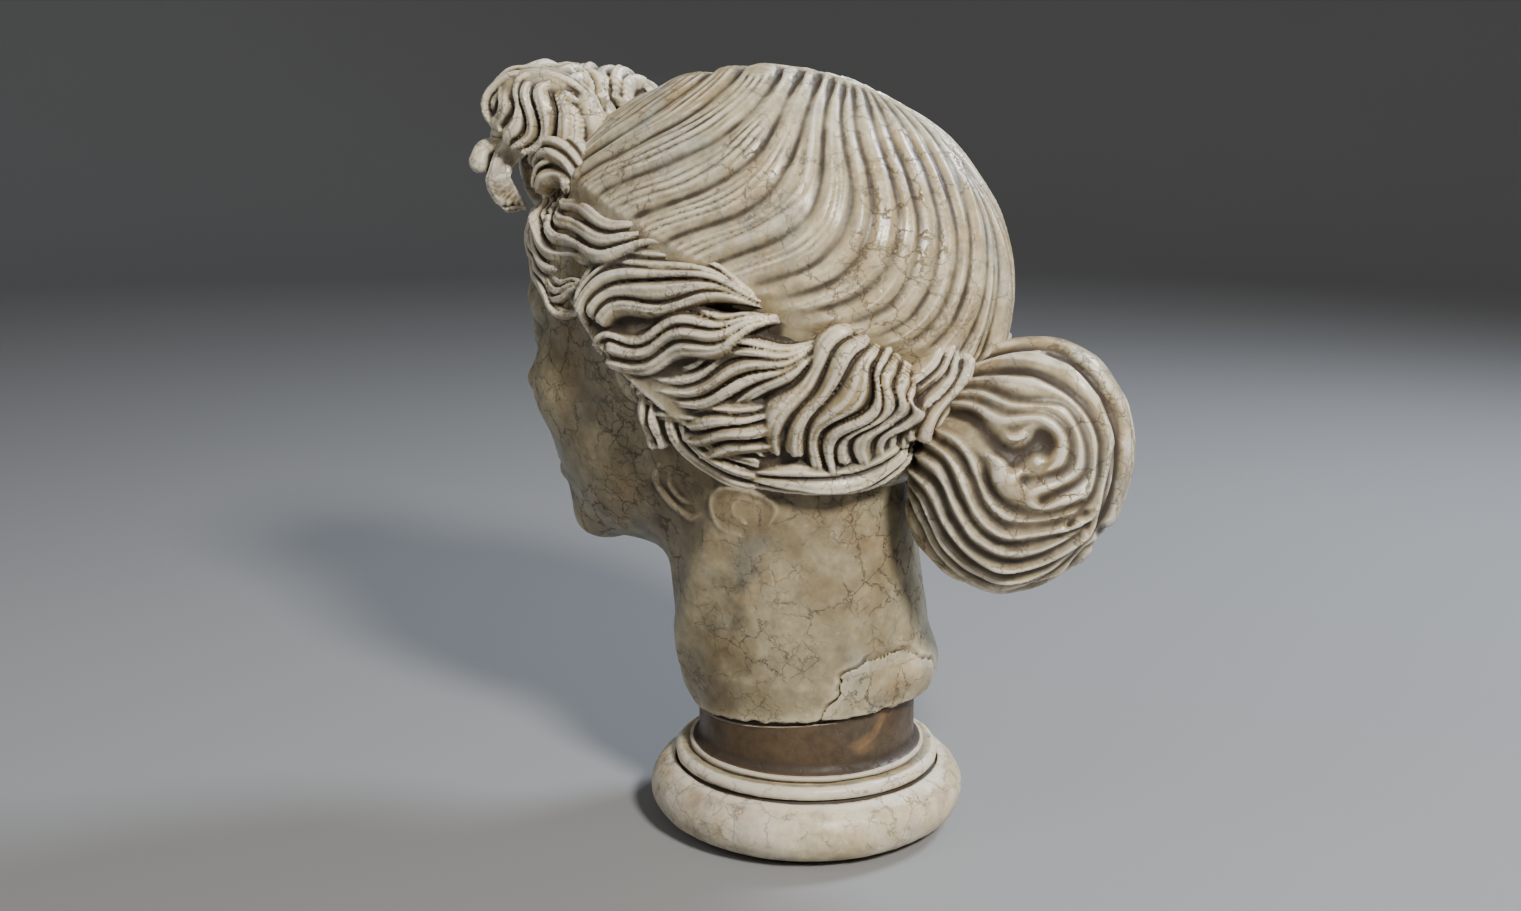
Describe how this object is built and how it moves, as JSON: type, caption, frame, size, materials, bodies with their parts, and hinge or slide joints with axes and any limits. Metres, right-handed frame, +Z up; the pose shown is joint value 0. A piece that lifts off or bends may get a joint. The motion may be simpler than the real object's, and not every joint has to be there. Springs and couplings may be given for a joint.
{
  "type": "marble bust",
  "caption": "Weathered marble head with waved hair, a bun and a hair bow, pinned through a neck collar to a round turned socle.",
  "frame": {"origin": "centre of the base's underside, on the surface that the bust stands on", "axes": "+Z up, the face looks along -Y, +X is the figure's left side"},
  "size_m": [0.192, 0.3189, 0.372],
  "materials": {
    "marble_face": "satin",
    "marble_hair": "satin",
    "marble_base": "satin",
    "steel": "satin",
    "brass": "satin",
    "resin": "matte",
    "felt": "matte"
  },
  "bodies": {
    "root": {"base_felt": "felt", "socle": "marble_base", "neck_collar": "marble_base", "mortar_bed": "resin", "head": "marble_face", "nape_fragment": "marble_face", "hair_bun": "marble_hair", "hair_bow": "marble_hair", "mounting_rod": "steel", "rod_resin": "resin", "rod_washer": "steel", "rod_nut": "steel", "collar_pin": "steel", "neck_pin": "steel", "bow_dowel": "brass", "bun_dowel_1": "brass", "bun_dowel_2": "brass"}
  },
  "joints": []
}
